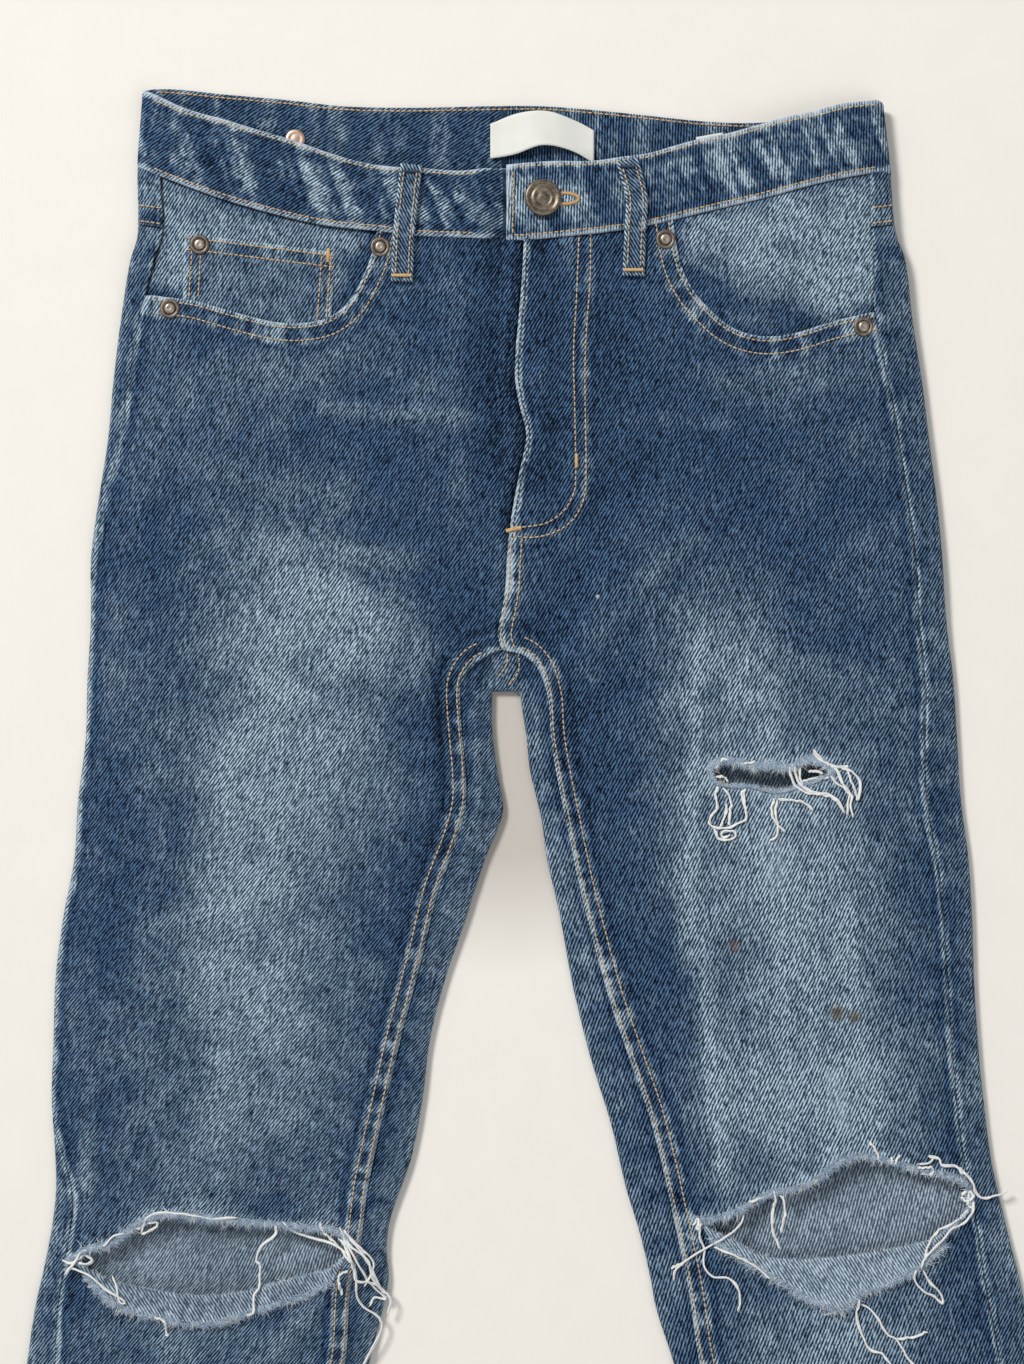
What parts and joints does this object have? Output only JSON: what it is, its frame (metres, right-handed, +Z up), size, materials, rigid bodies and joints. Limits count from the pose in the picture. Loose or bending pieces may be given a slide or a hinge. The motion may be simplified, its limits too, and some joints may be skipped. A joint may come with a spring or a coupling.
{
  "type": "ripped jeans",
  "caption": "Ripped five-pocket denim jeans laid flat on their back, fastened at the waist, with torn knees, a torn thigh, metal rivets and a plain waist label.",
  "frame": {"origin": "on the surface the jeans lie on, at the middle of their outline", "axes": "+Z up out of the front, +Y from the hems to the waist, +X to the wearer's left"},
  "size_m": [0.63, 1.0017, 0.0187],
  "materials": {
    "denim": "washed indigo right-hand twill, worn pale on the thighs, knees and seams",
    "label_cloth": "plain off-white woven label",
    "button_metal": "aged bronze-coloured metal with worn bright edges",
    "rivet_metal": "dull copper-coloured metal"
  },
  "bodies": {
    "root": {"front_right": "denim", "back_right": "denim", "yoke_right": "denim", "hem_right": "denim", "pocket_facing_right": "denim", "back_pocket_right": "denim", "front_left": "denim", "back_left": "denim", "yoke_left": "denim", "hem_left": "denim", "pocket_facing_left": "denim", "back_pocket_left": "denim", "coin_pocket": "denim", "fly_shield": "denim", "waistband": "denim", "belt_loop_front_right": "denim", "belt_loop_front_left": "denim", "belt_loop_back_right": "denim", "belt_loop_back_centre": "denim", "belt_loop_back_left": "denim", "waist_label": "label_cloth", "size_tag": "label_cloth", "waist_button": "button_metal", "rivet_pocket_right_inner": "rivet_metal", "rivet_pocket_right_outer": "rivet_metal", "rivet_coin_pocket": "rivet_metal", "rivet_pocket_left_inner": "rivet_metal", "rivet_pocket_left_outer": "rivet_metal", "inner_tack": "rivet_metal"}
  },
  "joints": []
}
